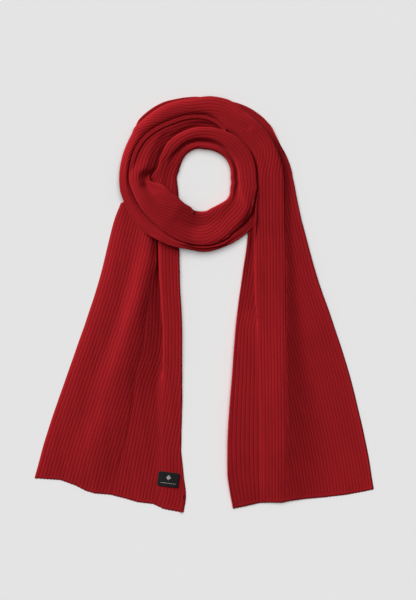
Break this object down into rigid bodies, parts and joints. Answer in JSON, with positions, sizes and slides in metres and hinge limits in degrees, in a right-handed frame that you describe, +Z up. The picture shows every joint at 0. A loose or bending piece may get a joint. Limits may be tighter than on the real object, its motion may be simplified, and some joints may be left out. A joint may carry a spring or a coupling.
{
  "type": "knit scarf",
  "caption": "Long rib-knit scarf lying flat, taken once round an open neck hole, with both ends spread side by side below it.",
  "frame": {"origin": "middle of the laid-out scarf's bounding box, on the surface that it lies on", "axes": "+Z up out of the surface, +Y from the hems towards the neck turn, +X towards the right tail"},
  "size_m": [0.5766, 0.709, 0.026],
  "materials": {
    "knit": "matt ribbed knit in wool mix",
    "label": "smooth woven patch"
  },
  "bodies": {
    "root": {"tail_right": "knit", "loop_outer": "knit", "loop_front": "knit", "loop_inner": "knit", "tail_left": "knit", "label": "label"}
  },
  "joints": []
}
